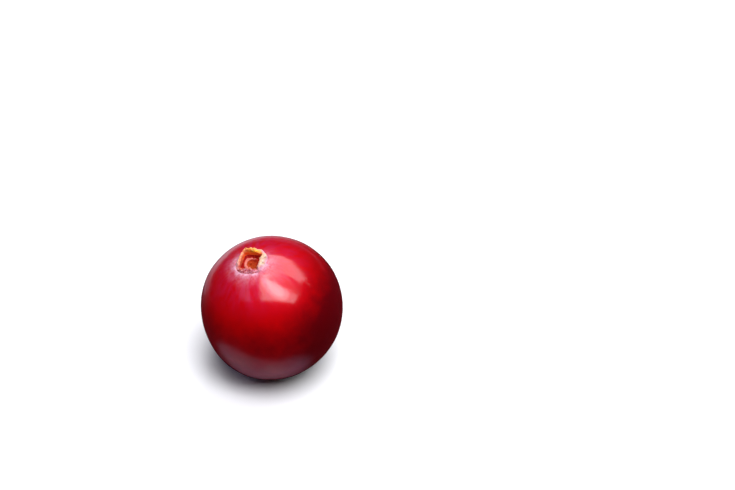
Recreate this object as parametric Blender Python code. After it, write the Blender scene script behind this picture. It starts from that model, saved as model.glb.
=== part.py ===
"""A ripe cranberry at its real size, lying on a small flat spot.

The fruit is one body, turned about its own axis and then shaped by a few soft swellings and furrows. A pit
with the flower's disc is at one end of that axis, and the dimple with the stem's scar is at the other. The
dried crown of the flower, a ring with four blunt lobes, is a piece of its own and sits round the pit.

Every piece is made in the fruit's own frame: origin at the middle of the fruit, +Z towards the crown, and
azimuths counted from +X, which is the side that the axis leans towards. A parent empty then leans the fruit
and sets it down, so that the middle of its footprint is at the world's origin, +Z up.

Sizes are in metres and angles in degrees.
"""

import math
from dataclasses import dataclass

import bmesh
import bpy
from mathutils import Matrix, Vector

# Fruit body
FRUIT_RADIUS = 0.0100
FRUIT_HALF_LENGTH = 0.0101
FRUIT_STEPS_ROUND = 64
FRUIT_STEPS_DOWN = 32

# How the fruit lies: its axis leans from upright, towards a heading counted from world +X
AXIS_LEAN = 15.5
AXIS_HEADING = 203.0
FOOT_RADIUS = 0.0024

# Pit inside the crown, square with round corners, and the flower's disc on its floor
OPENING_HALF_SIDE = 0.00138
OPENING_SQUARENESS = 7.0
OPENING_FADE = 0.00041
PIT_DEPTH = 0.00022
PIT_FLOOR_RADIUS = 0.00108
PIT_FLOOR_STEPS = 6
DISC_RADIUS = 0.00080
DISC_WIDTH = 0.00024
DISC_HEIGHT = 0.00036

# Seat that the crown stands in, cut into the shoulder of the fruit
SEAT_RADIUS = 0.00260
SEAT_DROP = 0.00076
SEAT_WALL_SLANT = 0.00006
GAP = 0.00025

# Dimple and scar at the stem's end
DIMPLE_RADIUS = 0.00190
DIMPLE_DEPTH = 0.00060
DIMPLE_STEPS = 5
SCAR_RADIUS = 0.00055
SCAR_HEIGHT = 0.00018

# Crown
CROWN_RADIUS = 0.00230
CROWN_SQUARENESS = 2.6
CROWN_STEPS_ROUND = 64
NOTCH_HEIGHT = 0.00048
NOTCH_ANGLE = 45.0
OUTER_STEP = 0.00012


@dataclass(frozen=True)
class Lobe:
    """One blunt lobe of the crown: where it stands, its height, its edge's thickness and its inward lean."""

    azimuth: float
    height: float
    edge: float
    lean: float


@dataclass(frozen=True)
class Swelling:
    """A soft rise, or a hollow where it is negative, round one direction of the fruit."""

    azimuth: float
    polar: float
    reach: float
    rise: float


@dataclass(frozen=True)
class Furrow:
    """A shallow groove, or a ridge where it is negative, that runs down from the crown along one azimuth."""

    azimuth: float
    width: float
    depth: float
    top: float
    deepest: float
    end: float


LOBES = (
    Lobe(azimuth=50.0, height=0.00062, edge=0.00036, lean=0.10),
    Lobe(azimuth=140.0, height=0.00098, edge=0.00062, lean=0.04),
    Lobe(azimuth=230.0, height=0.00132, edge=0.00034, lean=-0.06),
    Lobe(azimuth=320.0, height=0.00106, edge=0.00040, lean=0.08),
)

SWELLINGS = (
    Swelling(azimuth=332.0, polar=94.0, reach=62.0, rise=-0.00026),
    Swelling(azimuth=262.0, polar=70.0, reach=60.0, rise=-0.00018),
    Swelling(azimuth=42.0, polar=118.0, reach=60.0, rise=0.00020),
    Swelling(azimuth=150.0, polar=60.0, reach=50.0, rise=0.00010),
)

FURROWS = (
    Furrow(azimuth=119.0, width=13.0, depth=0.00010, top=12.0, deepest=34.0, end=72.0),
    Furrow(azimuth=75.0, width=11.0, depth=0.00005, top=14.0, deepest=38.0, end=80.0),
    Furrow(azimuth=212.0, width=15.0, depth=0.00007, top=12.0, deepest=32.0, end=70.0),
    Furrow(azimuth=302.0, width=15.0, depth=0.00008, top=12.0, deepest=34.0, end=74.0),
)

# Colours, as linear red, green and blue
SKIN_COLOUR = (0.36, 0.008, 0.012, 1.0)
CROWN_COLOUR = (0.72, 0.50, 0.27, 1.0)

WELD_DISTANCE = 1e-6
FULL_TURN = 2.0 * math.pi


def smooth_step(value):
    """Ease a value from 0 to 1, flat at both ends."""
    share = min(1.0, max(0.0, value))
    return share * share * (3.0 - 2.0 * share)


def angle_between(first, second):
    """Smallest angle between two azimuths, in degrees, without sign."""
    return abs((first - second + 180.0) % 360.0 - 180.0)


def square_factor(azimuth, squareness):
    """Radius of a square with round corners and a half side of 1, whose sides face the lobes."""
    turned = math.radians(azimuth - LOBES[0].azimuth)
    across = abs(math.cos(turned)) ** squareness + abs(math.sin(turned)) ** squareness
    return across ** (-1.0 / squareness)


def dome_height(radius):
    """Height of the plain fruit over its middle at a distance from its axis."""
    return FRUIT_HALF_LENGTH * math.sqrt(1.0 - (radius / FRUIT_RADIUS) ** 2)


def pit_profile():
    """Points from the middle of the pit out to the rim of the crown's seat."""
    floor = dome_height(0.0) - SEAT_DROP - PIT_DEPTH
    seat = dome_height(0.0) - SEAT_DROP
    points = []
    for step in range(PIT_FLOOR_STEPS + 1):
        radius = PIT_FLOOR_RADIUS * step / PIT_FLOOR_STEPS
        offset = (radius - DISC_RADIUS) / DISC_WIDTH
        points.append((radius, floor + DISC_HEIGHT * math.exp(-offset * offset)))
    points.append((0.2 * PIT_FLOOR_RADIUS + 0.8 * OPENING_HALF_SIDE, floor + 0.6 * PIT_DEPTH))
    points.append((OPENING_HALF_SIDE, seat))
    points.append((0.5 * (OPENING_HALF_SIDE + SEAT_RADIUS), seat))
    points.append((SEAT_RADIUS, seat))
    return points


def body_profile():
    """Points from the rim of the crown's seat down to the lip of the stem's dimple."""
    start = math.asin((SEAT_RADIUS + SEAT_WALL_SLANT) / FRUIT_RADIUS)
    end = math.pi - math.asin(DIMPLE_RADIUS / FRUIT_RADIUS)
    points = []
    for step in range(FRUIT_STEPS_DOWN + 1):
        polar = start + (end - start) * step / FRUIT_STEPS_DOWN
        points.append((FRUIT_RADIUS * math.sin(polar), FRUIT_HALF_LENGTH * math.cos(polar)))
    return points


def dimple_profile():
    """Points from inside the lip of the stem's dimple to the middle of the scar, a low button."""
    stride = (DIMPLE_RADIUS - SCAR_RADIUS) / DIMPLE_STEPS
    bowl = [DIMPLE_RADIUS - stride * step for step in range(1, DIMPLE_STEPS + 1)]
    points = []
    for radius in bowl + [0.8 * SCAR_RADIUS, 0.6 * SCAR_RADIUS, 0.0]:
        sunk = DIMPLE_DEPTH * smooth_step((DIMPLE_RADIUS - radius) / (DIMPLE_RADIUS - SCAR_RADIUS))
        scar = SCAR_HEIGHT * smooth_step((SCAR_RADIUS - radius) / (0.4 * SCAR_RADIUS))
        points.append((radius, -dome_height(radius) + sunk - scar))
    return points


def turned_mesh(profile, steps, closed):
    """Spin a profile of (radius, height) points once round Z, with its seam and poles welded.

    The mesh's vertex layer "row" keeps which point of the profile each vertex comes from.
    """
    bm = bmesh.new()
    row_layer = bm.verts.layers.int.new("row")
    verts = []
    for row, (radius, height) in enumerate(profile):
        vert = bm.verts.new((radius, 0.0, height))
        vert[row_layer] = row
        verts.append(vert)
    ends = verts[1:] + verts[:1] if closed else verts[1:]
    edges = [bm.edges.new(pair) for pair in zip(verts, ends)]
    middle = (0.0, 0.0, 0.0)
    bmesh.ops.spin(bm, geom=verts + edges, axis=(0.0, 0.0, 1.0), cent=middle, angle=FULL_TURN, steps=steps)
    bmesh.ops.remove_doubles(bm, verts=bm.verts, dist=WELD_DISTANCE)
    return bm


def furrow_depth(furrow, azimuth, polar):
    """Depth of one furrow at a direction of the fruit."""
    across = angle_between(azimuth, furrow.azimuth) / furrow.width
    if polar < furrow.deepest:
        along = smooth_step((polar - furrow.top) / (furrow.deepest - furrow.top))
    else:
        along = smooth_step((furrow.end - polar) / (furrow.end - furrow.deepest))
    return furrow.depth * along * math.exp(-across * across)


def swelling_rise(swelling, direction):
    """Rise of one swelling at a direction of the fruit."""
    turned = Matrix.Rotation(math.radians(swelling.azimuth), 3, "Z")
    tipped = Matrix.Rotation(math.radians(swelling.polar), 3, "Y")
    centre = turned @ tipped @ Vector((0.0, 0.0, 1.0))
    return swelling.rise * smooth_step(1.0 - math.degrees(direction.angle(centre)) / swelling.reach)


def shaped_point(point):
    """Move a point of the turned fruit to where the real, slightly uneven fruit has it."""
    radius = math.hypot(point.x, point.y)
    if radius < WELD_DISTANCE:
        return point.copy()
    azimuth = math.degrees(math.atan2(point.y, point.x))
    direction = point.normalized()
    polar = math.degrees(math.acos(direction.z))
    rise = sum(swelling_rise(swelling, direction) for swelling in SWELLINGS)
    rise -= sum(furrow_depth(furrow, azimuth, polar) for furrow in FURROWS)
    shaped = point + direction * rise
    if point.z > 0.0:
        inside = smooth_step((radius - OPENING_HALF_SIDE) / OPENING_FADE + 1.0)
        outside = smooth_step((SEAT_RADIUS - radius) / (SEAT_RADIUS - OPENING_HALF_SIDE))
        widened = 1.0 + inside * outside * (square_factor(azimuth, OPENING_SQUARENESS) - 1.0)
        shaped.x *= widened
        shaped.y *= widened
    return shaped


def lying_rotation():
    """Rotation that leans the fruit's axis from upright towards its heading."""
    heading = Matrix.Rotation(math.radians(AXIS_HEADING), 4, "Z")
    return heading @ Matrix.Rotation(math.radians(AXIS_LEAN), 4, "Y")


def cut_foot(bm):
    """Cut the flat spot that the fruit rests on, and return how far below the middle it lies."""
    up = lying_rotation().inverted() @ Vector((0.0, 0.0, 1.0))
    lowest = min(up.dot(vert.co) for vert in bm.verts)
    level = lowest + FRUIT_RADIUS - math.sqrt(FRUIT_RADIUS ** 2 - FOOT_RADIUS ** 2)
    geometry = bm.verts[:] + bm.edges[:] + bm.faces[:]
    bmesh.ops.bisect_plane(bm, geom=geometry, plane_co=up * level, plane_no=up, clear_inner=True)
    rim = [edge for edge in bm.edges if edge.is_boundary]
    bmesh.ops.holes_fill(bm, edges=rim, sides=0)
    return -level


def between_lobes(azimuth):
    """The lobe nearest to an azimuth, the next nearest, and how far the azimuth is towards their notch."""
    ranked = sorted(LOBES, key=lambda lobe: angle_between(azimuth, lobe.azimuth))
    return ranked[0], ranked[1], angle_between(azimuth, ranked[0].azimuth) / NOTCH_ANGLE


def crown_section(azimuth):
    """Closed section of the crown at an azimuth, as (radius, height over its underside) points."""
    lobe, neighbour, share = between_lobes(azimuth)
    mixed = 0.5 * smooth_step(share)
    edge = lobe.edge * (1.0 - mixed) + neighbour.edge * mixed
    lean = lobe.lean * (1.0 - mixed) + neighbour.lean * mixed
    height = NOTCH_HEIGHT + (lobe.height - NOTCH_HEIGHT) * math.cos(0.5 * math.pi * share) ** 0.9
    inner = OPENING_HALF_SIDE * square_factor(azimuth, OPENING_SQUARENESS)
    outer = CROWN_RADIUS * square_factor(azimuth, CROWN_SQUARENESS) ** 0.5
    top_inner = inner - lean * height
    top_outer = min(top_inner + edge, outer - OUTER_STEP)
    return (
        (inner, 0.0),
        (inner - 0.3 * lean * height, 0.40 * height),
        (top_inner, 0.88 * height),
        (0.5 * (top_inner + top_outer), height),
        (top_outer, 0.86 * height),
        (0.55 * top_outer + 0.45 * outer, 0.50 * height),
        (outer, 0.22 * height),
        (outer - 0.5 * OUTER_STEP, 0.0),
    )


def crown_point(point, row):
    """Move a point of the turned ring to its place on the lobed crown."""
    azimuth = math.atan2(point.y, point.x)
    radius, height = crown_section(math.degrees(azimuth))[row]
    base = dome_height(0.0) - SEAT_DROP + GAP
    return Vector((radius * math.cos(azimuth), radius * math.sin(azimuth), base + height))


def build_fruit():
    """Make the fruit's mesh, and return it with the depth of its flat spot below its middle."""
    bm = turned_mesh(pit_profile() + body_profile() + dimple_profile(), FRUIT_STEPS_ROUND, closed=False)
    for vert in bm.verts:
        vert.co = shaped_point(vert.co)
    foot_depth = cut_foot(bm)
    bmesh.ops.recalc_face_normals(bm, faces=bm.faces)
    return bm, foot_depth


def build_crown():
    """Make the crown's mesh: a plain section turned to a ring, whose rows then move to the lobed shape."""
    bm = turned_mesh(crown_section(LOBES[0].azimuth), CROWN_STEPS_ROUND, closed=True)
    row_layer = bm.verts.layers.int["row"]
    for vert in bm.verts:
        vert.co = crown_point(vert.co, vert[row_layer])
    bmesh.ops.recalc_face_normals(bm, faces=bm.faces)
    return bm


def make_material(name, colour, roughness):
    """Make a Principled material in one colour."""
    material = bpy.data.materials.new(name)
    material.use_nodes = True
    material.diffuse_color = colour
    shader = material.node_tree.nodes["Principled BSDF"]
    shader.inputs["Base Color"].default_value = colour
    shader.inputs["Roughness"].default_value = roughness
    shader.inputs["Metallic"].default_value = 0.0
    return material


def make_object(name, bm, material, parent):
    """Turn a mesh into a smooth-shaded object under the parent."""
    mesh = bpy.data.meshes.new(name)
    bm.to_mesh(mesh)
    bm.free()
    mesh.materials.append(material)
    mesh.shade_smooth()
    mesh.set_sharp_from_angle(angle=math.radians(50.0))
    piece = bpy.data.objects.new(name, mesh)
    bpy.context.scene.collection.objects.link(piece)
    piece.parent = parent
    return piece


def set_down(parent, pieces, foot_depth):
    """Lean the fruit, and put the middle of its footprint at the origin with its foot at height 0."""
    lying = lying_rotation()
    corners = [lying @ vert.co for piece in pieces for vert in piece.data.vertices]
    middle_x = 0.5 * (min(corner.x for corner in corners) + max(corner.x for corner in corners))
    middle_y = 0.5 * (min(corner.y for corner in corners) + max(corner.y for corner in corners))
    parent.matrix_world = Matrix.Translation((-middle_x, -middle_y, foot_depth)) @ lying


def main():
    """Build the fruit and its crown, and set them down."""
    for leftover in list(bpy.data.objects):
        bpy.data.objects.remove(leftover, do_unlink=True)
    parent = bpy.data.objects.new("cranberry", None)
    bpy.context.scene.collection.objects.link(parent)
    fruit, foot_depth = build_fruit()
    pieces = [
        make_object("berry", fruit, make_material("skin", SKIN_COLOUR, 0.22), parent),
        make_object("calyx", build_crown(), make_material("dried_crown", CROWN_COLOUR, 0.7), parent),
    ]
    set_down(parent, pieces, foot_depth)
    bpy.context.view_layer.update()


main()
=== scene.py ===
"""Dresses the ripe cranberry: its skin, the pit and the dried crown at its tip, and the studio round it.

Lengths are in metres and angles in degrees, except where a name ends in _mm. The fruit's own frame has its
origin at the middle of the fruit and +Z towards the crown. Azimuths there count from +X, the side that the
fruit's axis leans towards.
"""

import logging
import math
from dataclasses import dataclass
from enum import Enum

import bpy
import numpy as np
from mathutils import Matrix, Vector

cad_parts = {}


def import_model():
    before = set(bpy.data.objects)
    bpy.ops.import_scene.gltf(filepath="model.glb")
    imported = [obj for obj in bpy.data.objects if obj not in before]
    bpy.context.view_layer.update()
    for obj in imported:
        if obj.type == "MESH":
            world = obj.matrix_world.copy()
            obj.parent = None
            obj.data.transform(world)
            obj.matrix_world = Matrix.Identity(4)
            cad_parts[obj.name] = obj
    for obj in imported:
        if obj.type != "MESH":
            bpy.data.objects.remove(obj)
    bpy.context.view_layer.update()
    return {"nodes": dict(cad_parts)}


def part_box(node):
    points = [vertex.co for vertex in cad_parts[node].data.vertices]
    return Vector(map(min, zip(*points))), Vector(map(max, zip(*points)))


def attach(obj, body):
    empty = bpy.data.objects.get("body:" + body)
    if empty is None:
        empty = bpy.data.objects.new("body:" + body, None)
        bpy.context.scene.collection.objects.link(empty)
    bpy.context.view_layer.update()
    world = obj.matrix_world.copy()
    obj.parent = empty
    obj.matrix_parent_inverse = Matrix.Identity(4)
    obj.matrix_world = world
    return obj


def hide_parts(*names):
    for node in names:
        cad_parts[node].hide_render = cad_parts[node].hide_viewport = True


LOG = logging.getLogger("cranberry")
MM = 0.001
LEVEL = 90.0
NOISE_MIDDLE = 0.5
Colour = tuple[float, float, float]
Faces = list[tuple[int, ...]]
Fields = dict[str, np.ndarray]


class CrownSide(Enum):
    """A side of the crown as the camera sees it, with the azimuth that its colours are strongest at."""

    FRONT = 50.0
    RIGHT = 140.0
    BACK = 244.0
    LEFT = 320.0


class PanelShape(Enum):
    """Outline of a soft panel: the light's own name for it, and the share of its box that it fills."""

    RECTANGLE = ("RECTANGLE", 1.0)
    OVAL = ("ELLIPSE", math.pi / 4.0)


def smooth_step(value: np.ndarray) -> np.ndarray:
    """Ease values from 0 to 1, flat at both ends."""
    share = np.clip(value, 0.0, 1.0)
    return share * share * (3.0 - 2.0 * share)


def angle_between(first: np.ndarray, second: float) -> np.ndarray:
    """Smallest angle between azimuths, in degrees, without sign."""
    return np.abs((first - second + 180.0) % 360.0 - 180.0)


def direction_of(azimuth: float, polar: float) -> np.ndarray:
    """Unit vector at an azimuth and an angle from +Z, both in degrees."""
    turn, tip = math.radians(azimuth), math.radians(polar)
    return np.array([math.sin(tip) * math.cos(turn), math.sin(tip) * math.sin(turn), math.cos(tip)])


class SoftNoise:
    """Smooth seeded noise in space: many plane waves of about one length in random directions."""

    WAVES = 36
    SPREAD = 0.35

    def __init__(self, seed: int, pitch: float) -> None:
        """Draw the waves.

        Args:
            seed: Picks the pattern.
            pitch: Typical distance between two rises, in the unit of the points.
        """
        draw = np.random.default_rng(seed)
        headings = draw.normal(size=(self.WAVES, 3))
        headings /= np.linalg.norm(headings, axis=1)[:, None]
        lengths = 1.0 + self.SPREAD * draw.uniform(-1.0, 1.0, self.WAVES)
        self.waves = headings * (2.0 * math.pi / pitch * lengths)[:, None]
        self.phases = draw.uniform(0.0, 2.0 * math.pi, self.WAVES)

    def at(self, points: np.ndarray) -> np.ndarray:
        """Noise values, mostly from -1 to 1.

        Args:
            points: One row of three numbers for each place.

        Returns:
            One value for each row.
        """
        return np.cos(points @ self.waves.T + self.phases).sum(axis=1) / math.sqrt(0.5 * self.WAVES) / 2.0


@dataclass(frozen=True)
class Ripple:
    """One layer of soft noise: the seed of its pattern, the pitch of its rises, and their height."""

    seed: int
    pitch: float
    height: float

    def at(self, points: np.ndarray) -> np.ndarray:
        """Heights of the layer at points."""
        return self.height * SoftNoise(self.seed, self.pitch).at(points)


def stacked(layers: tuple[Ripple, ...], points: np.ndarray) -> np.ndarray:
    """Heights of several layers together."""
    return sum(layer.at(points) for layer in layers)


def ring_of(azimuth: np.ndarray, level: np.ndarray | float) -> np.ndarray:
    """Places on a cylinder of radius 1, at azimuths in degrees and a level."""
    turned = np.radians(azimuth)
    return np.stack([np.cos(turned), np.sin(turned), level + 0.0 * turned], axis=1)


@dataclass(frozen=True)
class Ramp:
    """Where a look or a shape starts, where it is full (above or below the start), and its share there."""

    start: float
    full: float
    share: float = 1.0

    def over(self, values: np.ndarray) -> np.ndarray:
        """Eased shares at values."""
        return self.share * smooth_step((values - self.start) / (self.full - self.start))


@dataclass(frozen=True)
class Lobe:
    """One blunt lobe of the crown: where it stands, its height, its edge's thickness and its inward lean.

    The notch is the height of the low place between this lobe and the next one, counted by azimuth.
    """

    azimuth: float
    height: float
    edge: float
    lean: float
    notch: float


@dataclass(frozen=True)
class Swelling:
    """A soft rise, or a hollow where it is negative, round one direction of the fruit."""

    azimuth: float
    polar: float
    reach: float
    rise: float


@dataclass(frozen=True)
class Furrow:
    """A shallow groove that runs down from the crown along one azimuth."""

    azimuth: float
    width: float
    depth: float
    top: float
    deepest: float
    end: float


@dataclass(frozen=True)
class Lie:
    """How the fruit lies: its axis leans from upright towards a heading counted from world +X."""

    lean: float = 15.5
    heading: float = 203.0
    foot_radius: float = 0.0024

    def rotation(self) -> np.ndarray:
        """Matrix that takes the fruit's own directions to the world's."""
        turn = Matrix.Rotation(math.radians(self.heading), 3, "Z")
        return np.array(turn @ Matrix.Rotation(math.radians(self.lean), 3, "Y"))


@dataclass(frozen=True)
class Seating:
    """The move from the fruit's own frame to its place on the surface it lies on."""

    rotation: np.ndarray
    offset: np.ndarray

    def place(self, points: np.ndarray) -> np.ndarray:
        """Set points down.

        Args:
            points: Points in the fruit's own frame.

        Returns:
            Their places in the world, none lower than the surface that the fruit lies on.
        """
        placed = points @ self.rotation.T + self.offset
        placed[:, 2] = np.maximum(placed[:, 2], 0.0)
        return placed


@dataclass(frozen=True)
class Opening:
    """The square opening inside the crown, with round corners."""

    half_side: float = 0.00138
    squareness: float = 7.0
    first_side: float = 50.0

    def factor(self, azimuth: np.ndarray, squareness: float) -> np.ndarray:
        """Radius of a square with round corners and a half side of 1, whose sides face the lobes.

        Args:
            azimuth: Azimuths to read it at.
            squareness: 2 for a circle, and more for sharper corners.

        Returns:
            One radius for each azimuth.
        """
        turned = np.radians(azimuth - self.first_side)
        across = np.abs(np.cos(turned)) ** squareness + np.abs(np.sin(turned)) ** squareness
        return across ** (-1.0 / squareness)


def new_object(name: str, points: np.ndarray, faces: Faces, fields: Fields) -> bpy.types.Object:
    """Make a mesh object and put it in the scene.

    Args:
        name: The object's name.
        points: Its points.
        faces: Its faces, as indices of points.
        fields: Numbers or vectors at the points, which its finish reads by name.

    Returns:
        The object.
    """
    mesh = bpy.data.meshes.new(name)
    mesh.from_pydata(points.tolist(), [], faces)
    for label, values in fields.items():
        flat = values.ndim == 1
        layer = mesh.attributes.new(label, "FLOAT" if flat else "FLOAT_VECTOR", "POINT")
        layer.data.foreach_set("value" if flat else "vector", values.astype(np.float32).ravel())
    mesh.update()
    made = bpy.data.objects.new(name, mesh)
    bpy.context.scene.collection.objects.link(made)
    return made


@dataclass
class Surface:
    """A mesh in the making: its points, faces and the numbers that its finish reads."""

    points: np.ndarray
    faces: Faces
    fields: Fields

    def to_object(self, name: str, seating: Seating) -> bpy.types.Object:
        """Make the smooth-shaded object.

        Args:
            name: The object's name.
            seating: Where the fruit's own frame lies in the world.

        Returns:
            The object, set down in its place.
        """
        piece = new_object(name, seating.place(self.points), self.faces, self.fields)
        piece.data.validate()
        piece.data.shade_smooth()
        return piece


def sheet_faces(rows: int, columns: int, closed_rows: bool) -> Faces:
    """Quads of a grid that closes round its columns.

    Args:
        rows: Rows of points, each of which runs once round.
        columns: Points in a row.
        closed_rows: Whether the last row also joins the first.

    Returns:
        The quads, as indices into the rows laid end to end.
    """
    across = np.arange(columns)
    following = (across + 1) % columns
    quads = []
    for row in range(rows if closed_rows else rows - 1):
        here, below = row * columns, ((row + 1) % rows) * columns
        quads.extend(zip(here + across, below + across, below + following, here + following))
    return [tuple(int(corner) for corner in quad) for quad in quads]


@dataclass
class Fruit:
    """The fruit's body with its pit, its furrows and the dimple at the stem's end.

    The skin and fan ramps run over angles from the axis. The pit's end, the wall's foot and the scar's top
    are given as shares of the pit floor's, the pit rim's and the scar's radius.
    """

    radius: float = 0.0100
    half_length: float = 0.0101
    columns: int = 320
    opening: Opening = Opening()
    lie: Lie = Lie()
    rim_drop: float = 0.00050
    pit_bottom: float = 0.00098
    pit_floor_radius: float = 0.00108
    shoulder_radius: float = 0.00260
    disc_radius: float = 0.00085
    disc_middle: tuple[float, float] = (0.00004, -0.00026)
    disc_width: float = 0.00026
    disc_height: float = 0.00042
    style_radius: float = 0.00016
    style_height: float = 0.00022
    dimple_radius: float = 0.00190
    dimple_depth: float = 0.00060
    scar_radius: float = 0.00055
    scar_height: float = 0.00018
    swellings: tuple[Swelling, ...] = (
        Swelling(azimuth=332.0, polar=94.0, reach=62.0, rise=-0.00026),
        Swelling(azimuth=262.0, polar=70.0, reach=60.0, rise=-0.00018),
        Swelling(azimuth=42.0, polar=118.0, reach=60.0, rise=0.00020),
        Swelling(azimuth=150.0, polar=60.0, reach=50.0, rise=0.00010),
    )
    furrows: tuple[Furrow, ...] = (
        Furrow(azimuth=119.0, width=13.0, depth=0.00010, top=12.0, deepest=34.0, end=72.0),
        Furrow(azimuth=75.0, width=11.0, depth=0.00005, top=14.0, deepest=38.0, end=80.0),
        Furrow(azimuth=212.0, width=15.0, depth=0.00007, top=12.0, deepest=32.0, end=70.0),
        Furrow(azimuth=302.0, width=15.0, depth=0.00008, top=12.0, deepest=34.0, end=74.0),
    )
    floor_steps: int = 26
    wall_steps: int = 15
    shoulder_steps: int = 17
    body_steps: int = 170
    dimple_steps: int = 32
    waves_mm: tuple[Ripple, ...] = (Ripple(11, 5.0, 0.015), Ripple(12, 1.6, 0.0028))
    ribs_mm: tuple[Ripple, ...] = (Ripple(13, 0.30, 0.0070), Ripple(14, 0.11, 0.0022))
    pucker_mm: Ripple = Ripple(15, 0.42, 0.022)
    skin_start: Ramp = Ramp(12.0, 20.0)
    skin_end: Ramp = Ramp(168.0, 160.0)
    fan_start: Ramp = Ramp(13.0, 18.0)
    fan_end: Ramp = Ramp(62.0, 22.0)
    pit_end: Ramp = Ramp(0.9, 1.25)
    wall_foot: float = 0.7
    scar_top: float = 0.6
    pucker_polar: float = 16.5
    pucker_width: float = 3.2
    disc_facing: float = 310.0
    disc_level: float = 0.36
    disc_swing: float = 0.72
    disc_bumps: tuple[Ripple, ...] = (Ripple(21, 1.1, 0.14), Ripple(23, 0.42, 0.18))
    creases: Ripple = Ripple(22, 0.45, 0.00005)

    def dome(self, radius: np.ndarray) -> np.ndarray:
        """Height of the plain fruit over its middle at distances from its axis."""
        return self.half_length * np.sqrt(1.0 - (radius / self.radius) ** 2)

    def pit_heights(self, radius: np.ndarray) -> np.ndarray:
        """Heights of the plain form near the fruit's tip.

        Args:
            radius: Distances from the axis, from the middle of the pit out to the shoulder under the crown.

        Returns:
            Heights over the fruit's middle.
        """
        top = self.half_length
        rim = self.opening.half_side
        wall = Ramp(self.pit_floor_radius, rim).over(radius)
        bottom = top - self.pit_bottom + wall * (self.pit_bottom - self.rim_drop)
        shoulder = Ramp(rim, self.shoulder_radius).over(radius)
        return bottom * (1.0 - shoulder) + shoulder * self.dome(radius)

    def profile(self) -> np.ndarray:
        """Outline that the fruit is turned from.

        Returns:
            Rows of distance from the axis and height, from the middle of the pit to the middle of the scar.
        """
        rim, shoulder_end = self.opening.half_side, self.shoulder_radius
        floor = np.linspace(0.0, self.pit_floor_radius, self.floor_steps)
        wall = np.linspace(self.pit_floor_radius, rim, self.wall_steps)[1:]
        shoulder = np.linspace(rim, shoulder_end, self.shoulder_steps)[1:]
        top = np.concatenate([floor, wall, shoulder])
        start = math.asin(shoulder_end / self.radius)
        end = math.pi - math.asin(self.dimple_radius / self.radius)
        polar = np.linspace(start, end, self.body_steps)[1:]
        body = np.stack([self.radius * np.sin(polar), self.half_length * np.cos(polar)], axis=1)
        bowl = np.linspace(self.dimple_radius, 0.0, self.dimple_steps)[1:]
        sunk = Ramp(self.dimple_radius, self.scar_radius, self.dimple_depth).over(bowl)
        scar = Ramp(self.scar_radius, self.scar_top * self.scar_radius, self.scar_height).over(bowl)
        dimple = np.stack([bowl, sunk - scar - self.dome(bowl)], axis=1)
        return np.concatenate([np.stack([top, self.pit_heights(top)], axis=1), body, dimple])

    def relief(self, points: np.ndarray, azimuth: np.ndarray, polar: np.ndarray) -> np.ndarray:
        """How far the skin stands out from the plain turned form.

        Args:
            points: Places on the plain form.
            azimuth: Their azimuths.
            polar: Their angles from the fruit's axis.

        Returns:
            Distances outwards, in metres.
        """
        outward = points / np.linalg.norm(points, axis=1)[:, None]
        rise = np.zeros(len(points))
        for swelling in self.swellings:
            nearness = outward @ direction_of(swelling.azimuth, swelling.polar)
            away = np.degrees(np.arccos(np.clip(nearness, -1.0, 1.0)))
            rise += swelling.rise * smooth_step(1.0 - away / swelling.reach)
        for furrow in self.furrows:
            across = angle_between(azimuth, furrow.azimuth) / furrow.width
            above = Ramp(furrow.top, furrow.deepest).over(polar)
            below = Ramp(furrow.end, furrow.deepest).over(polar)
            rise -= furrow.depth * np.minimum(above, below) * np.exp(-across * across)
        return rise + self.fine_relief(points, azimuth, polar)

    def fine_relief(self, points: np.ndarray, azimuth: np.ndarray, polar: np.ndarray) -> np.ndarray:
        """Faint waves of the skin, the fine ribs that fan out from the crown, and the pucker round it.

        Args:
            points: Places on the plain form.
            azimuth: Their azimuths.
            polar: Their angles from the fruit's axis.

        Returns:
            Distances outwards, in metres.
        """
        ring = ring_of(azimuth, polar / LEVEL)
        skin = self.skin_start.over(polar) * self.skin_end.over(polar)
        fan = self.fan_start.over(polar) * self.fan_end.over(polar)
        collar = np.exp(-(((polar - self.pucker_polar) / self.pucker_width) ** 2))
        ribs = fan * stacked(self.ribs_mm, ring) + collar * self.pucker_mm.at(ring)
        return MM * (skin * stacked(self.waves_mm, points / MM) + ribs)

    def pit_relief(self, radius: np.ndarray, azimuth: np.ndarray,
                   places: np.ndarray) -> tuple[np.ndarray, np.ndarray]:
        """How far the flower's disc, the foot of the style and the pit's creases stand up.

        Args:
            radius: Distances from the fruit's axis.
            azimuth: Azimuths round it.
            places: The places in millimetres.

        Returns:
            The rise, and the disc's own share of it from 0 to about 1.
        """
        inside = 1.0 - self.pit_end.over(radius / self.pit_floor_radius)
        away = np.hypot(*(places[:, :2] * MM - self.disc_middle).T)
        offset = (away - self.disc_radius) / self.disc_width
        uneven = self.disc_level + self.disc_swing * np.cos(np.radians(azimuth - self.disc_facing))
        uneven = np.maximum(uneven + stacked(self.disc_bumps, places), 0.0)
        disc = inside * uneven * np.exp(-offset * offset)
        style = self.style_height * np.exp(-((away / self.style_radius) ** 2))
        return self.disc_height * disc + inside * (style + self.creases.at(places)), disc

    def turned(self) -> tuple[int, np.ndarray, np.ndarray, np.ndarray]:
        """Points of the plain turned form.

        Returns:
            The number of full rows, and each point's distance from the axis, height and azimuth. The last
            two points are the middle of the pit and the middle of the scar.
        """
        rows = self.profile()
        full = len(rows) - 2
        radius = np.concatenate([np.repeat(rows[1:-1, 0], self.columns), [0.0, 0.0]])
        height = np.concatenate([np.repeat(rows[1:-1, 1], self.columns), rows[[0, -1], 1]])
        around = 360.0 * np.arange(self.columns) / self.columns
        return full, radius, height, np.concatenate([np.tile(around, full), [0.0, 0.0]])

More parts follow.
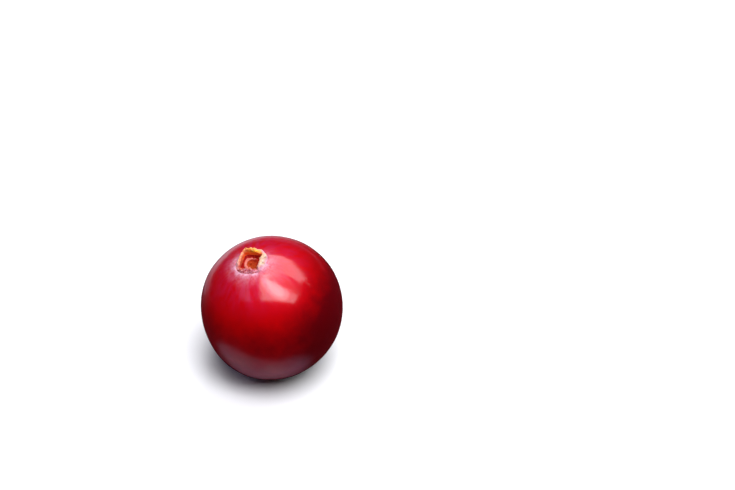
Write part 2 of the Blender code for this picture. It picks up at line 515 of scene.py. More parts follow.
    def widening(self, radius: np.ndarray, azimuth: np.ndarray) -> np.ndarray:
        """Turn the round pit's wall into the square one that the crown's opening needs.

        Args:
            radius: Distances from the axis.
            azimuth: Azimuths.

        Returns:
            Factors on the distances.
        """
        rim = self.opening.half_side
        inside = Ramp(self.wall_foot * rim, rim).over(radius)
        outside = Ramp(self.shoulder_radius, rim).over(radius)
        return 1.0 + inside * outside * (self.opening.factor(azimuth, self.opening.squareness) - 1.0)

    def surface(self) -> Surface:
        """Build the fruit's closed surface.

        Returns:
            The surface in the fruit's own frame, before it is set down.
        """
        full, radius, height, azimuth = self.turned()
        above = height > 0.0
        plain = ring_of(azimuth, height)
        plain[:, :2] *= radius[:, None]
        rise, disc = self.pit_relief(radius, azimuth, plain / MM)
        plain[:, 2] += np.where(above, rise, 0.0)
        polar = np.degrees(np.arctan2(radius, height))
        outward = plain / np.linalg.norm(plain, axis=1)[:, None]
        shaped = plain + outward * self.relief(plain, azimuth, polar)[:, None]
        shaped[:, :2] *= np.where(above, self.widening(radius, azimuth), 1.0)[:, None]
        fields = {"place_mm": shaped / MM, "ring": ring_of(azimuth, polar / LEVEL), "polar": polar,
                  "axis_mm": radius / MM, "disc": np.where(above, disc, 0.0)}
        faces = sheet_faces(full, self.columns, closed_rows=False) + self.caps(full)
        return Surface(shaped, faces, fields)

    def caps(self, rows: int) -> Faces:
        """Close the middle of the pit and the middle of the scar.

        Args:
            rows: Full rows of points.

        Returns:
            Two fans of triangles.
        """
        first, last = rows * self.columns, rows * self.columns + 1
        under = (rows - 1) * self.columns
        fans = []
        for column in range(self.columns):
            following = (column + 1) % self.columns
            fans.append((first, column, following))
            fans.append((last, under + following, under + column))
        return fans

    def seat(self, surface: Surface, low: Vector, high: Vector) -> Seating:
        """Find how the fruit is set down where the frame's fruit is.

        Args:
            surface: The fruit's surface in its own frame.
            low: Lowest corner of the frame's fruit.
            high: Highest corner of the frame's fruit.

        Returns:
            The move into the world.
        """
        rotation = self.lie.rotation()
        lying = surface.points @ rotation.T
        level = lying[:, 2].min() + self.radius - math.sqrt(self.radius ** 2 - self.lie.foot_radius ** 2)
        middle = 0.5 * (lying.min(axis=0) + lying.max(axis=0))
        offset = np.array([0.5 * (low.x + high.x) - middle[0], 0.5 * (low.y + high.y) - middle[1], -level])
        return Seating(rotation, offset)


@dataclass
class Crown:
    """The dried crown of the flower: a ring with four blunt, ragged lobes round the opening."""

    radius: float = 0.00230
    squareness: float = 2.6
    columns: int = 640
    points_per_section: int = 56
    lobe_bluntness: float = 0.68
    underside: float = 0.00959
    outer_step: float = 0.00012
    opening: Opening = Opening()
    crest: tuple[float, ...] = (0.0, 0.40, 0.88, 1.0, 0.86, 0.47, 0.09, 0.0)
    shrinkage: float = 0.06
    tears: tuple[Ripple, ...] = (
        Ripple(31, 0.55, 0.085), Ripple(32, 0.20, 0.0595), Ripple(33, 0.09, 0.034),
    )
    edge_waves: Ripple = Ripple(34, 0.40, 0.35)
    curls: tuple[Ripple, ...] = (Ripple(35, 0.7, 0.00007), Ripple(36, 0.25, 0.00003))
    folds_mm: tuple[Ripple, ...] = (
        Ripple(41, 0.33, 0.032), Ripple(42, 0.13, 0.016), Ripple(44, 0.06, 0.007),
    )
    lumps_mm: Ripple = Ripple(43, 0.5, 0.020)
    inner_face_start: Ramp = Ramp(-0.08, 0.04)
    inner_face_end: Ramp = Ramp(0.46, 0.34)
    ragged: Ramp = Ramp(0.0, 0.0004, MM)
    shoulder_guide: float = 0.55
    lobes: tuple[Lobe, ...] = (
        Lobe(azimuth=50.0, height=0.00062, edge=0.00036, lean=0.10, notch=0.00042),
        Lobe(azimuth=140.0, height=0.00098, edge=0.00062, lean=0.04, notch=0.00046),
        Lobe(azimuth=251.0, height=0.00132, edge=0.00034, lean=-0.06, notch=0.00092),
        Lobe(azimuth=313.0, height=0.00110, edge=0.00042, lean=0.06, notch=0.00046),
    )

    def lobe_mix(self, azimuth: np.ndarray) -> tuple[np.ndarray, np.ndarray, np.ndarray]:
        """Blend the lobes round the ring.

        Args:
            azimuth: Azimuths to read them at.

        Returns:
            The height, the edge's thickness and the inward lean at each azimuth.
        """
        away = np.stack([angle_between(azimuth, lobe.azimuth) for lobe in self.lobes])
        order = np.argsort(away, axis=0)
        near, far = np.take_along_axis(away, order[:2], axis=0)
        share = 2.0 * near / (near + far)
        mixed = 0.5 * smooth_step(share)
        values = np.array([(lobe.height, lobe.edge, lobe.lean) for lobe in self.lobes])
        first, second = values[order[0]].T, values[order[1]].T
        arch = np.cos(0.5 * math.pi * share) ** self.lobe_bluntness
        notches = np.array([lobe.notch for lobe in self.lobes])
        before = (order[0] + 1) % len(self.lobes) == order[1]
        notch = notches[np.where(before, order[0], order[1])]
        height = notch + (first[0] - notch) * arch
        edge, lean = first[1:] + (second[1:] - first[1:]) * mixed
        return height, edge, lean

    def sections(self) -> tuple[np.ndarray, np.ndarray]:
        """Guide points of the ring's closed section at every azimuth, one row for each azimuth.

        Returns:
            Their distances from the axis, and their heights over the underside.
        """
        azimuth = 360.0 * np.arange(self.columns) / self.columns
        ring = ring_of(azimuth, 0.0)
        height, edge, lean = self.lobe_mix(azimuth)
        height = height * (1.0 - self.shrinkage + stacked(self.tears, ring))
        edge = edge * (1.0 + self.edge_waves.at(ring))
        inner = self.opening.half_side * self.opening.factor(azimuth, self.opening.squareness)
        outer = self.radius * np.sqrt(self.opening.factor(azimuth, self.squareness))
        top_inner = inner - lean * height + stacked(self.curls, ring)
        top_outer = np.minimum(top_inner + edge, outer - self.outer_step)
        shoulder = self.shoulder_guide * top_outer + (1.0 - self.shoulder_guide) * outer
        radii = [inner, inner - 0.3 * lean * height, top_inner, 0.5 * (top_inner + top_outer), top_outer,
                 shoulder, outer, outer - 0.5 * self.outer_step]
        return np.stack(radii, axis=1), np.outer(height, self.crest)

    @staticmethod
    def eased_loop(guides: np.ndarray, count: int) -> np.ndarray:
        """Draw closed smooth curves through guide values.

        Args:
            guides: Guide values, one curve in each row.
            count: Even steps to read each curve at.

        Returns:
            The values, one curve in each row.
        """
        corners = guides.shape[1]
        steps = np.arange(count) * corners / count
        whole = steps.astype(int)
        part = steps - whole
        p0, p1, p2, p3 = (guides[:, (whole + shift) % corners] for shift in (-1, 0, 1, 2))
        curve = 2.0 * p1 + (p2 - p0) * part + (2.0 * p0 - 5.0 * p1 + 4.0 * p2 - p3) * part ** 2
        return 0.5 * (curve + (3.0 * p1 - p0 - 3.0 * p2 + p3) * part ** 3)

    def surface(self) -> Surface:
        """Build the crown's closed surface.

        Returns:
            The surface in the fruit's own frame, before it is set down.
        """
        radii, heights = self.sections()
        radius = self.eased_loop(radii, self.points_per_section).T.ravel()
        height = self.eased_loop(heights, self.points_per_section).T.ravel()
        azimuth = np.tile(360.0 * np.arange(self.columns) / self.columns, self.points_per_section)
        step = np.repeat(np.arange(self.points_per_section), self.columns) / self.points_per_section
        ring = ring_of(azimuth, height / MM)
        inward = self.inner_face_end.over(step) * self.inner_face_start.over(step)
        standing = self.ragged.over(height)
        points = ring_of(azimuth, height)
        points[:, :2] *= (radius + standing * stacked(self.folds_mm, ring))[:, None]
        points[:, 2] += self.underside + standing * self.lumps_mm.at(points / MM)
        fields = {"place_mm": points / MM, "ring": ring, "inward": inward, "rise_mm": height / MM}
        faces = sheet_faces(self.points_per_section, self.columns, closed_rows=True)
        return Surface(points, [quad[::-1] for quad in faces], fields)


@dataclass(frozen=True)
class Grain:
    """A fractal noise: its rises per unit length, its octaves, and how strong the finer ones are."""

    scale: float
    detail: float
    roughness: float = 0.5


@dataclass(frozen=True)
class Toward:
    """A look that grows towards one direction from the fruit's middle or its axis."""

    azimuth: float
    polar: float
    ramp: Ramp


@dataclass(frozen=True)
class Wire:
    """An output in a node tree, used like a number: arithmetic on it adds Math nodes."""

    bench: "Bench"
    socket: bpy.types.NodeSocket

    def _math(self, operation: str, first: "Wire | float", second: "Wire | float") -> "Wire":
        """Add one Math node for an operation on two values."""
        return self.bench.add("ShaderNodeMath", 0, {0: first, 1: second}, operation=operation)

    def __add__(self, other: "Wire | float") -> "Wire":
        """Sum."""
        return self._math("ADD", self, other)

    def __radd__(self, other: float) -> "Wire":
        """Sum, with the number first."""
        return self._math("ADD", other, self)

    def __sub__(self, other: "Wire | float") -> "Wire":
        """Difference."""
        return self._math("SUBTRACT", self, other)

    def __rsub__(self, other: float) -> "Wire":
        """Difference, with the number first."""
        return self._math("SUBTRACT", other, self)

    def __mul__(self, other: "Wire | float") -> "Wire":
        """Product."""
        return self._math("MULTIPLY", self, other)

    def __rmul__(self, other: float) -> "Wire":
        """Product, with the number first."""
        return self._math("MULTIPLY", other, self)

    def eased(self, ramp: Ramp) -> "Wire":
        """Ease from 0 at the ramp's start to its share where it is full, flat beyond both.

        Args:
            ramp: The two ends and the share.

        Returns:
            The eased value.
        """
        rising = ramp.start < ramp.full
        low, high = sorted((ramp.start, ramp.full))
        values = {"Value": self, "From Min": low, "From Max": high,
                  "To Min": float(not rising), "To Max": float(rising)}
        eased = self.bench.add("ShaderNodeMapRange", "Result", values, interpolation_type="SMOOTHSTEP")
        return eased if ramp.share == 1.0 else eased * ramp.share

    def swung(self, reach: float) -> "Wire":
        """Noise that swings round 0, from about minus half its reach to plus half."""
        return (self - NOISE_MIDDLE) * reach


class Bench:
    """Lays out the nodes of one tree."""

    def __init__(self, tree: bpy.types.NodeTree) -> None:
        """Start on a tree."""
        self.tree = tree

    def add(self, kind: str, output: int | str, values: dict[int | str, object], **settings: object) -> Wire:
        """Add a node and take one of its outputs.

        Args:
            kind: The node's type.
            output: The output's name or number.
            values: For each input, by name or number, a number, a colour or the wire that feeds it.
            settings: Properties of the node, set first.

        Returns:
            The output.
        """
        node = self.tree.nodes.new(kind)
        for label, setting in settings.items():
            setattr(node, label, setting)
        for socket, value in values.items():
            self.feed(node, socket, value)
        return Wire(self, node.outputs[output])

    def feed(self, node: bpy.types.Node, socket: int | str, value: object) -> None:
        """Link a wire to an input, or set the input's own value.

        Args:
            node: The node.
            socket: The input's name or number.
            value: A wire, a number, or a colour, which gets full alpha where the input has one.
        """
        if isinstance(value, Wire):
            self.tree.links.new(value.socket, node.inputs[socket])
        elif isinstance(value, tuple) and len(value) == 3 and node.inputs[socket].type == "RGBA":
            node.inputs[socket].default_value = (*value, 1.0)
        else:
            node.inputs[socket].default_value = value

    def number(self, label: str) -> Wire:
        """A number that the mesh carries at each point."""
        return self.add("ShaderNodeAttribute", "Fac", {}, attribute_name=label)

    def vector(self, label: str) -> Wire:
        """A vector that the mesh carries at each point."""
        return self.add("ShaderNodeAttribute", "Vector", {}, attribute_name=label)

    def noise(self, where: Wire, grain: Grain) -> Wire:
        """Fractal noise from 0 to 1 at a vector."""
        values = {"Vector": where, "Scale": grain.scale, "Detail": grain.detail,
                  "Roughness": grain.roughness}
        return self.add("ShaderNodeTexNoise", "Fac", values)

    def toward(self, where: Wire, look: Toward) -> Wire:
        """Read a look that grows towards one direction.

        Args:
            where: The place that it is read at.
            look: The direction and the ramp along it.

        Returns:
            The look's eased share.
        """
        along = tuple(float(part) for part in direction_of(look.azimuth, look.polar))
        reach = self.add("ShaderNodeVectorMath", "Value", {0: where, 1: along}, operation="DOT_PRODUCT")
        return reach.eased(look.ramp)

    def distance(self, where: Wire, point: tuple[float, float, float]) -> Wire:
        """Distance from a point."""
        return self.add("ShaderNodeVectorMath", "Value", {0: where, 1: point}, operation="DISTANCE")

    def mix(self, share: Wire | float, under: Wire | Colour, over: Wire | Colour) -> Wire:
        """Lay one colour on another, with a share that is held between 0 and 1."""
        return self.add("ShaderNodeMix", 2, {0: share, 6: under, 7: over}, data_type="RGBA")

    def bump(self, height: Wire, distance: float, strength: float) -> Wire:
        """Turn a height into a surface normal."""
        values = {"Height": height, "Distance": distance, "Strength": strength}
        return self.add("ShaderNodeBump", "Normal", values)


class MaterialBench(Bench):
    """Lays out the nodes of one material round its Principled shader."""

    def __init__(self, name: str) -> None:
        """Start the material."""
        self.material = bpy.data.materials.new(name)
        self.material.use_nodes = True
        super().__init__(self.material.node_tree)

    def finish(self, **inputs: object) -> bpy.types.Material:
        """Feed the shader.

        Args:
            inputs: Its inputs, with underscores for spaces in their names.

        Returns:
            The finished material.
        """
        for label, value in inputs.items():
            self.feed(self.tree.nodes["Principled BSDF"], label.replace("_", " "), value)
        return self.material


@dataclass(frozen=True)
class BerrySkin:
    """Glossy red skin with a thin pale bloom, a painted rosy sheen near the crown, painted shade, and the
    brown and pink inside of the pit.
    """

    scarlet: Colour = (0.44, 0.0002, 0.0010)
    crimson: Colour = (0.088, 0.0002, 0.0018)
    # Painted reflection: a rosy sheen laid over the red near the crown.
    rosy_sheen: Colour = (0.40, 0.018, 0.095)
    chalk: Colour = (0.66, 0.42, 0.53)
    pit_wall: Colour = (0.22, 0.005, 0.003)
    pit_floor: Colour = (0.30, 0.042, 0.006)
    pit_streak: Colour = (0.40, 0.040, 0.010)
    disc: Colour = (0.60, 0.20, 0.155)
    scar: Colour = (0.36, 0.20, 0.09)
    glow_tint: Colour = (1.0, 0.012, 0.070)
    glow_spread: float = 0.42
    broad: Grain = Grain(0.11, 3.0)
    mottle: Grain = Grain(0.9, 4.0, 0.6)
    streaks: Grain = Grain(7.0, 5.0, 0.65)
    strands: Grain = Grain(12.0, 5.0, 0.7)
    patches: Grain = Grain(1.6, 5.0, 0.65)
    crumbs: Grain = Grain(3.2, 4.0, 0.6)
    rays: Grain = Grain(4.5, 4.0, 0.7)
    pores: Grain = Grain(5.5, 3.0)
    # Painted shade: the red darkens towards one side and towards the stem end underneath.
    shaded_side: Toward = Toward(156.0, 106.0, Ramp(-0.2, 11.0, 0.86))
    shaded_end: Toward = Toward(0.0, 164.0, Ramp(-7.4, -1.4, 0.47))
    upper_part: Ramp = Ramp(90.0, 60.0)
    crown_near: Ramp = Ramp(56.0, 14.0)
    sheen_streaks: Ramp = Ramp(0.30, 0.72)
    sheen_cover: float = 0.52
    halo_side: Toward = Toward(55.0, LEVEL, Ramp(-1.1, 0.3))
    halo_core: Ramp = Ramp(3.1, 2.2)
    halo_skirt: Ramp = Ramp(4.4, 2.3)
    halo_patches: Ramp = Ramp(0.28, 0.68, 0.70)
    halo_strands: Ramp = Ramp(0.30, 0.70, 0.30)
    halo_cover: float = 0.88
    pit_edge: Ramp = Ramp(1.62, 1.36)
    pit_ring: Ramp = Ramp(0.75, 1.15)
    # Painted shade: one side of the pit is darkened to the wall's colour.
    pit_shade: Toward = Toward(205.0, LEVEL, Ramp(-0.1, 0.8, 0.55))
    ray_edge: Ramp = Ramp(0.48, 0.66)
    ray_reach: Ramp = Ramp(0.9, 1.2)
    disc_edge: Ramp = Ramp(0.34, 0.66)
    scar_edge: Ramp = Ramp(166.0, 172.0)

    def material(self) -> bpy.types.Material:
        """Lay out the skin's nodes.

        Returns:
            The finish of the whole fruit.
        """
        bench = MaterialBench("ripe_skin")
        place = bench.vector("place_mm")
        ring = bench.vector("ring")
        polar = bench.number("polar")
        axis = bench.number("axis_mm")

        broad = bench.noise(place, self.broad)
        mottle = bench.noise(place, self.mottle)
        streaks = bench.noise(ring, self.streaks)
        # Painted shade darkens the red to crimson towards one side and underneath; the noise adds the skin's
        # own uneven ripeness.
        shade = bench.toward(place, self.shaded_side) + bench.toward(place, self.shaded_end)
        shade_and_ripeness = shade + broad.swung(0.7) + mottle.swung(0.3) + streaks.swung(0.25)
        red = bench.mix(shade_and_ripeness.eased(Ramp(0.0, 1.0)), self.scarlet, self.crimson)

        # Painted reflection: a rosy sheen near the crown, streaked along the fine ribs, stands for a dim
        # reflection on the upper skin.
        near = polar.eased(self.crown_near)
        painted_sheen = near * streaks.eased(self.sheen_streaks) * (0.5 + mottle)
        strands = bench.noise(ring, self.strands)
        patches = bench.noise(place, self.patches).eased(self.halo_patches)
        patches += strands.eased(self.halo_strands)
        side = bench.toward(ring, self.halo_side)
        core = axis.eased(self.halo_core) * (0.20 + patches * 0.6)
        skirt = axis.eased(self.halo_skirt) * patches * 0.45
        halo = (core + skirt) * side * polar.eased(self.upper_part)
        coat = bench.mix(painted_sheen * self.sheen_cover, red, self.rosy_sheen)
        coat = bench.mix(halo * self.halo_cover, coat, self.chalk)

        crumbs = bench.noise(place, self.crumbs)
        inside = axis.eased(self.pit_edge) * polar.eased(self.upper_part)
        ridge = bench.number("disc").eased(self.disc_edge)
        floor = bench.mix(axis.eased(self.pit_ring), self.pit_floor, self.pit_wall)
        floor = bench.mix((crumbs - 0.45) * 1.6, floor, self.pit_wall)
        # Painted shade: the pit floor darkens to the wall's colour on one side.
        floor = bench.mix(bench.toward(place, self.pit_shade), floor, self.pit_wall)
        rays = bench.noise(ring, self.rays).eased(self.ray_edge) * axis.eased(self.ray_reach)
        floor = bench.mix(rays * 0.8, floor, self.pit_streak)
        floor = bench.mix(ridge * (0.65 + crumbs * 0.5), floor, self.disc)
        stem_end = polar.eased(self.scar_edge) * (0.55 + crumbs * 0.5)
        colour = bench.mix(inside, coat, floor)
        colour = bench.mix(stem_end, colour, self.scar)

        dull = halo * 0.45 + inside * 0.90 + stem_end * 0.8
        roughness = dull * 0.30 + mottle.swung(0.10) + self.glow_spread
        fine = bench.noise(place, self.pores)
        relief = fine * (0.25 + inside * 2.0) + streaks * near * 0.8
        normal = bench.bump(relief, distance=0.00002, strength=0.35)
        return bench.finish(
            Base_Color=colour, Roughness=roughness, Normal=normal, IOR=1.62, Specular_Tint=self.glow_tint,
            Subsurface_Weight=0.10, Subsurface_Radius=(1.0, 0.22, 0.16), Subsurface_Scale=0.0010,
            Coat_Weight=1.0 - dull, Coat_Roughness=0.125, Coat_IOR=1.48,
        )


@dataclass(frozen=True)
class DriedCrown:
    """Dry, matt plant tissue: cream, pink and ochre lobes, brown low down inside, and painted light on the
    left outside.
    """

    cream: Colour = (0.66, 0.50, 0.36)
    chalk: Colour = (0.70, 0.34, 0.42)
    ochre: Colour = (1.0, 0.45, 0.040)
    straw: Colour = (0.76, 0.34, 0.17)
    apricot: Colour = (0.74, 0.215, 0.13)
    # Painted light: a pale pink that brightens the shaded left outside of the crown.
    painted_light_petal: Colour = (0.97, 0.44, 0.42)
    brown: Colour = (0.44, 0.042, 0.012)
    ember: Colour = (0.95, 0.10, 0.006)
    speck: Colour = (0.36, 0.03, 0.04)
    fibres: Grain = Grain(11.0, 5.0, 0.7)
    blotches: Grain = Grain(1.9, 4.0, 0.6)
    crumbs: Grain = Grain(7.0, 3.0)
    back: Toward = Toward(CrownSide.BACK.value, LEVEL, Ramp(0.1, 0.9))
    left: Toward = Toward(CrownSide.LEFT.value, LEVEL, Ramp(0.2, 0.9))
    front: Toward = Toward(CrownSide.FRONT.value, LEVEL, Ramp(0.3, 0.95))
    right: Toward = Toward(CrownSide.RIGHT.value, LEVEL, Ramp(0.3, 0.9))
    chalk_foot: Ramp = Ramp(0.75, 0.30, 0.85)
    dark_foot: Ramp = Ramp(0.86, 0.22)
    pale_edge: Ramp = Ramp(0.80, 1.10)
    fibre_edge: Ramp = Ramp(0.62, 0.80, 0.4)
    speck_edge: Ramp = Ramp(0.40, 0.58, 0.65)

    def material(self) -> bpy.types.Material:
        """Lay out the dried tissue's nodes.

        Returns:
            The finish of the crown.
        """
        bench = MaterialBench("dried_tissue")
        place = bench.vector("place_mm")
        ring = bench.vector("ring")
        inward = bench.number("inward")
        rise = bench.number("rise_mm")

        fibres = bench.noise(ring, self.fibres)
        blotches = bench.noise(place, self.blotches)
        crumbs = bench.noise(place, self.crumbs)
        back, left, front, right = (
            bench.toward(ring, look) for look in (self.back, self.left, self.front, self.right)
        )

        outside = bench.mix(back * 0.6 + blotches.swung(0.8), self.cream, self.straw)
        outside = bench.mix(front * 0.7 + rise.eased(self.chalk_foot), outside, self.chalk)
        # Painted light: the left outside is painted pale pink, standing for light from the left on that
        # flank.
        outside = bench.mix(left * 0.90, outside, self.painted_light_petal)
        within = bench.mix(back + left * 0.45 + blotches.swung(0.5), self.cream, self.ochre)
        within = bench.mix(right * 0.35, within, self.apricot)
        within = bench.mix(left * 0.88, within, self.apricot)
        low = rise.eased(self.dark_foot) * (0.5 + fibres * 0.9)
        within = bench.mix(low, within, bench.mix(back, self.brown, self.ember))
        colour = bench.mix(inward, outside, within)
        edge = rise.eased(self.pale_edge) * (1.0 - inward * 0.5)
        colour = bench.mix(edge * 0.5 * (1.0 - left), colour, self.straw)
        colour = bench.mix(fibres.eased(self.fibre_edge), colour, self.brown)
        specks = front * (crumbs.eased(self.speck_edge) + 0.35)
        colour = bench.mix(specks, colour, self.speck)

        roughness = 0.62 + crumbs.swung(0.2)
        relief = fibres * 1.2 + crumbs * 0.5 + blotches * 0.4
        normal = bench.bump(relief, distance=0.00005, strength=0.6)
        return bench.finish(
            Base_Color=colour, Roughness=roughness, Normal=normal, IOR=1.4,
            Subsurface_Weight=0.60, Subsurface_Radius=(1.0, 0.42, 0.14), Subsurface_Scale=0.0006,
        )


def square_card(name: str, half_side: float) -> bpy.types.Object:
    """Make a level square round the origin."""
    corners = np.array([(-1.0, -1.0, 0.0), (1.0, -1.0, 0.0), (1.0, 1.0, 0.0), (-1.0, 1.0, 0.0)])
    return new_object(name, half_side * corners, [(0, 1, 2, 3)], {})


def on_stage(card: bpy.types.Object, material: bpy.types.Material) -> bpy.types.Object:
    """Give a card its finish.

    Args:
        card: The card.
        material: Its finish.

    Returns:
        The same card.
    """
    card.data.materials.append(material)
    return card


@dataclass(frozen=True)
class Tabletop:
    """Plain pale matt floor."""

    half_side: float = 0.45
    white: Colour = (0.80, 0.82, 0.81)
    worn: Colour = (0.74, 0.75, 0.75)
    wear: Grain = Grain(30.0, 3.0)
    wear_cover: float = 0.05

    def build(self) -> None:
        """Make the floor."""
        bench = MaterialBench("pale_floor")
        place = bench.add("ShaderNodeTexCoord", "Object", {})
        tint = bench.mix(bench.noise(place, self.wear) * self.wear_cover, self.white, self.worn)
        material = bench.finish(Base_Color=tint, Roughness=0.55)
        on_stage(square_card("floor", self.half_side), material)


@dataclass(frozen=True)
class SoftPanel:
    """A level soft panel that shines down. Places and sizes are given per unit of height over the floor."""

    name: str
    x: float
    y: float
    width: float
    depth: float
    radiance: float
    turn: float = 0.0
    shape: PanelShape = PanelShape.RECTANGLE
    drop: float = 0.0
    tint: Colour = (1.0, 0.98, 1.03)
    height: float = 2.4

    def build(self) -> None:
        """Hang the panel. Its radiance stays the same at any size."""
        outline, filled = self.shape.value
        light = bpy.data.lights.new(self.name, "AREA")
        light.shape = outline
        height = self.height - self.drop
        light.size = self.width * height
        light.size_y = self.depth * height
        light.color = self.tint
        light.energy = self.radiance * math.pi * light.size * light.size_y * filled
        panel = bpy.data.objects.new(self.name, light)
        panel.location = (self.x * height, self.y * height, height)
        panel.rotation_euler.z = math.radians(self.turn)
        bpy.context.scene.collection.objects.link(panel)


@dataclass(frozen=True)
class SoftShade:
    """A dark shade under the panels that thins out towards its edges.

    Each row is a line of (x, y, cover), with x and y per unit height. Rows have equally many places.
    """

    name: str
    rows: tuple[tuple[tuple[float, float, float], ...], ...]
    height: float = 2.2
    black: Colour = (0.02, 0.02, 0.02)

    def build(self) -> None:
        """Hang the shade."""
        bench = MaterialBench(self.name)
        cover = bench.number("cover").eased(Ramp(0.0, 1.0))
        material = bench.finish(Base_Color=self.black, Roughness=1.0, Specular_IOR_Level=0.0, Alpha=cover)
        places = np.concatenate(self.rows)
        points = self.height * np.column_stack([places[:, :2], np.ones(len(places))])
        long = len(self.rows[0])
        starts = [row * long + step for row in range(len(self.rows) - 1) for step in range(long - 1)]
        faces = [(start, start + 1, start + long + 1, start + long) for start in starts]
        on_stage(new_object(self.name, points, faces, {"cover": places[:, 2]}), material)


@dataclass(frozen=True)
class Gap:
    """A soft opening in the red card: its middle, its clear radius, where it ends, and how open it is."""

    x: float
    y: float
    radius: float
    end: float
    openness: float


@dataclass(frozen=True)
class RedCard:
    """A deep red card that only the fruit sees: a painted dark reflection and shade, so the pale floor
    doesn't grey its red.
    """

    red: Colour = (0.075, 0.0012, 0.004)
    violet_reflection: Colour = (0.12, 0.012, 0.085)
    half_side: float = 2.6
    height: float = 0.0003
    cover: float = 0.995
    gaps: tuple[Gap, ...] = (
        Gap(x=-0.0125, y=-0.0118, radius=0.0020, end=0.0092, openness=0.185),
        Gap(x=-0.0035, y=-0.0120, radius=0.0035, end=0.0095, openness=0.165),
        Gap(x=0.0040, y=-0.0115, radius=0.0020, end=0.0080, openness=0.14),
        Gap(x=-0.0270, y=0.0590, radius=0.0050, end=0.0520, openness=0.45),
        Gap(x=-0.0245, y=0.0198, radius=0.0012, end=0.0046, openness=0.20),
        Gap(x=0.0100, y=0.3200, radius=0.1200, end=0.2500, openness=0.11),
    )

    def build(self) -> None:
        """Lay the card, hidden from the camera and from shadows."""
        bench = MaterialBench("red_card")
        place = bench.add("ShaderNodeTexCoord", "Object", {})
        cover, plain = self.cover, 1.0
        for gap in self.gaps:
            inside = bench.distance(place, (gap.x, gap.y, 0.0)).eased(Ramp(gap.end, gap.radius))
            cover = (1.0 - inside * gap.openness) * cover
            plain = (1.0 - inside) * plain
        from_above = 1.0 - bench.add("ShaderNodeNewGeometry", "Backfacing", {})
        # Painted reflection: violet where the gaps let the floor show, deep red elsewhere.
        colour = bench.mix(plain, self.violet_reflection, self.red)
        shown = cover * from_above
        material = bench.finish(Base_Color=colour, Roughness=1.0, Specular_IOR_Level=0.0, Alpha=shown)
        card = on_stage(square_card("red_card", self.half_side), material)
        card.location.z = self.height
        card.visible_camera = False
        card.visible_shadow = False


@dataclass(frozen=True)
class Studio:
    """The pale floor, the soft panels overhead with the shades under them, and the dim room round them."""

    floor: Tabletop = Tabletop()
    card: RedCard = RedCard()
    panels: tuple[SoftPanel, ...] = (
        SoftPanel("front_panel", x=0.37, y=-0.335, width=1.36, depth=0.91, radiance=4.1),
        SoftPanel("bright_panel", x=0.22, y=-0.32, width=1.00, depth=0.62, radiance=3.7, turn=-38.0,
                  shape=PanelShape.OVAL, drop=0.03),
        SoftPanel("hot_panel", x=0.19, y=-0.29, width=0.70, depth=0.36, radiance=4.0, turn=-38.0,
                  shape=PanelShape.OVAL, drop=0.06),
        SoftPanel("back_panel", x=0.87, y=0.54, width=1.90, depth=0.84, radiance=3.9),
        SoftPanel("side_panel", x=-0.95, y=-0.36, width=0.80, depth=0.80, radiance=0.95,
                  tint=(0.92, 0.80, 1.35)),
    )
    shades: tuple[SoftShade, ...] = (
        SoftShade("middle_shade", rows=(
            ((-0.02, -0.03, 0.0), (0.45, -0.26, 0.0), (0.75, -0.395, 0.0),
             (1.00, -0.50, 0.0), (1.40, -0.58, 0.0)),
            ((0.05, 0.00, 0.50), (0.50, -0.16, 0.85), (0.77, -0.27, 0.85),
             (1.00, -0.36, 0.85), (1.40, -0.42, 0.85)),
            ((0.06, 0.04, 0.50), (0.52, -0.05, 0.85), (0.83, -0.145, 0.85),
             (1.08, -0.12, 0.85), (1.45, 0.00, 0.85)),
            ((0.00, 0.08, 0.0), (0.54, 0.04, 0.0), (0.86, 0.06, 0.0), (1.12, 0.46, 0.0), (1.65, 0.70, 0.0)),
        )),
        SoftShade("back_shade", height=2.1, rows=(
            ((0.00, 1.00, 0.0), (0.60, 0.52, 0.0), (1.15, 0.08, 0.0)),
            ((0.10, 1.24, 0.65), (0.78, 0.70, 0.65), (1.45, 0.16, 0.65)),
            ((0.20, 1.45, 1.0), (0.95, 0.88, 1.0), (1.85, 0.20, 1.0)),
            ((0.40, 1.90, 1.0), (1.50, 1.50, 1.0), (2.70, 0.40, 1.0)),
        )),
        SoftShade("end_shade", height=2.15, rows=(
            ((1.10, -0.20, 0.0), (1.10, 1.10, 0.0)),
            ((1.35, -0.20, 0.30), (1.35, 1.10, 0.30)),
            ((1.60, -0.20, 0.58), (1.60, 1.10, 0.58)),
            ((1.84, -0.20, 1.0), (1.84, 1.10, 1.0)),
        )),
        SoftShade("side_shade", rows=(
            ((-0.62, -0.90, 0.0), (-0.62, 0.20, 0.0)),
            ((-1.00, -0.90, 0.45), (-1.05, 0.20, 0.50)),
            ((-1.45, -0.90, 0.90), (-1.45, 0.20, 0.95)),
        )),
    )
    grey: Colour = (0.8, 0.8, 0.8)
    room: float = 0.015
    white: Colour = (1.0, 1.0, 1.0)
    backdrop: float = 1.0

    def light_room(self) -> None:
        """Give the world a dim room, and a pale backdrop that only the camera sees."""
        world = bpy.data.worlds.new("studio")
        bpy.context.scene.world = world
        world.use_nodes = True
        bench = Bench(world.node_tree)
        bench.tree.nodes.remove(bench.tree.nodes["Background"])
        seen = bench.add("ShaderNodeLightPath", "Is Camera Ray", {})
        dim = bench.add("ShaderNodeBackground", 0, {"Color": self.grey, "Strength": self.room})
        pale = bench.add("ShaderNodeBackground", 0, {"Color": self.white, "Strength": self.backdrop})
        shown = bench.add("ShaderNodeMixShader", 0, {"Fac": seen, 1: dim, 2: pale})
        bench.feed(bench.tree.nodes["World Output"], "Surface", shown)

    def build(self) -> None:
        """Set up the floor, the card, the shades, the panels and the room."""
        for part in (self.floor, self.card, *self.shades, *self.panels):
            part.build()
        self.light_room()


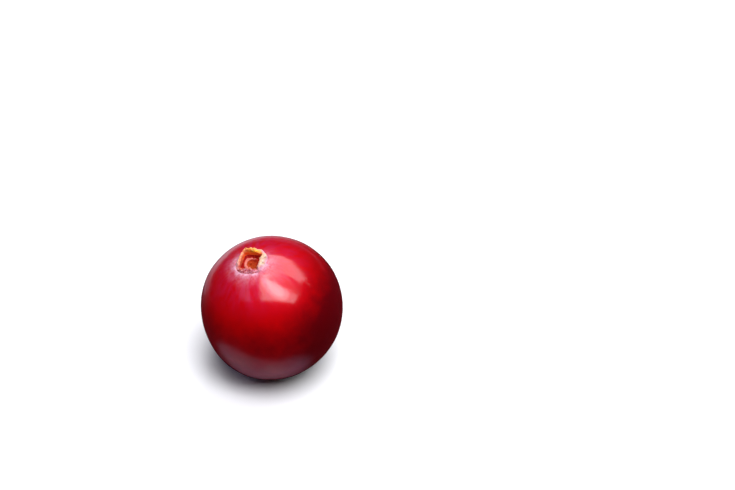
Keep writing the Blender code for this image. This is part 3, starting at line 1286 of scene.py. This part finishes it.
@dataclass(frozen=True)
class PhotoCamera:
    """The camera at the photograph's angle, with the fruit where the photograph has it."""

    picture_width_px: float = 735.0
    picture_height_px: float = 490.0
    fruit_x_px: float = 271.3
    fruit_y_px: float = 306.8
    fruit_width_px: float = 143.0
    lens: float = 100.0
    sensor: float = 36.0
    elevation: float = 42.0
    near_clip: float = 0.01
    far_clip: float = 20.0

    def build(self, middle: Vector, fruit_width: float) -> None:
        """Place the camera, and make it the scene's own.

        Args:
            middle: The fruit's middle.
            fruit_width: The fruit's width across the line of sight.
        """
        tip = math.radians(self.elevation)
        right = Vector((1.0, 0.0, 0.0))
        upward = Vector((0.0, math.sin(tip), math.cos(tip)))
        back = Vector((0.0, -math.cos(tip), math.sin(tip)))
        focal_px = self.lens / self.sensor * self.picture_width_px
        away = focal_px * fruit_width / self.fruit_width_px
        across = (self.fruit_x_px - 0.5 * self.picture_width_px) / focal_px * away
        above = (0.5 * self.picture_height_px - self.fruit_y_px) / focal_px * away
        data = bpy.data.cameras.new("photo_camera")
        data.lens = self.lens
        data.sensor_width = self.sensor
        data.clip_start = self.near_clip
        data.clip_end = self.far_clip
        camera = bpy.data.objects.new("photo_camera", data)
        camera.location = middle - across * right - above * upward + away * back
        camera.rotation_mode = "QUATERNION"
        camera.rotation_quaternion = Matrix((right, upward, back)).transposed().to_quaternion()
        bpy.context.scene.collection.objects.link(camera)
        bpy.context.scene.camera = camera


def dress(piece: bpy.types.Object, material: bpy.types.Material, node: str) -> None:
    """Give a piece its finish, and let it stand for a node of the frame.

    Args:
        piece: The piece.
        material: Its finish.
        node: The node's name.
    """
    piece.data.materials.append(material)
    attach(piece, "root")
    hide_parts(node)
    LOG.info("%s: %d points, %d faces", piece.name, len(piece.data.vertices), len(piece.data.polygons))


def main() -> None:
    """Build the fruit, its crown and the studio round them."""
    logging.basicConfig(level=logging.INFO, format="%(name)s: %(message)s")
    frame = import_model()
    LOG.info("frame nodes: %s", ", ".join(sorted(frame["nodes"])))
    fruit = Fruit()
    skin = fruit.surface()
    seating = fruit.seat(skin, *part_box("berry"))
    berry = skin.to_object("berry_skin", seating)
    crown = Crown().surface().to_object("calyx_crown", seating)
    dress(berry, BerrySkin().material(), "berry")
    dress(crown, DriedCrown().material(), "calyx")
    middle = Vector(seating.offset)
    Studio().build()
    PhotoCamera().build(middle, 2.0 * fruit.radius)
    bpy.context.scene.view_settings.view_transform = "Standard"
    bpy.context.view_layer.update()


if __name__ == "__main__":
    main()
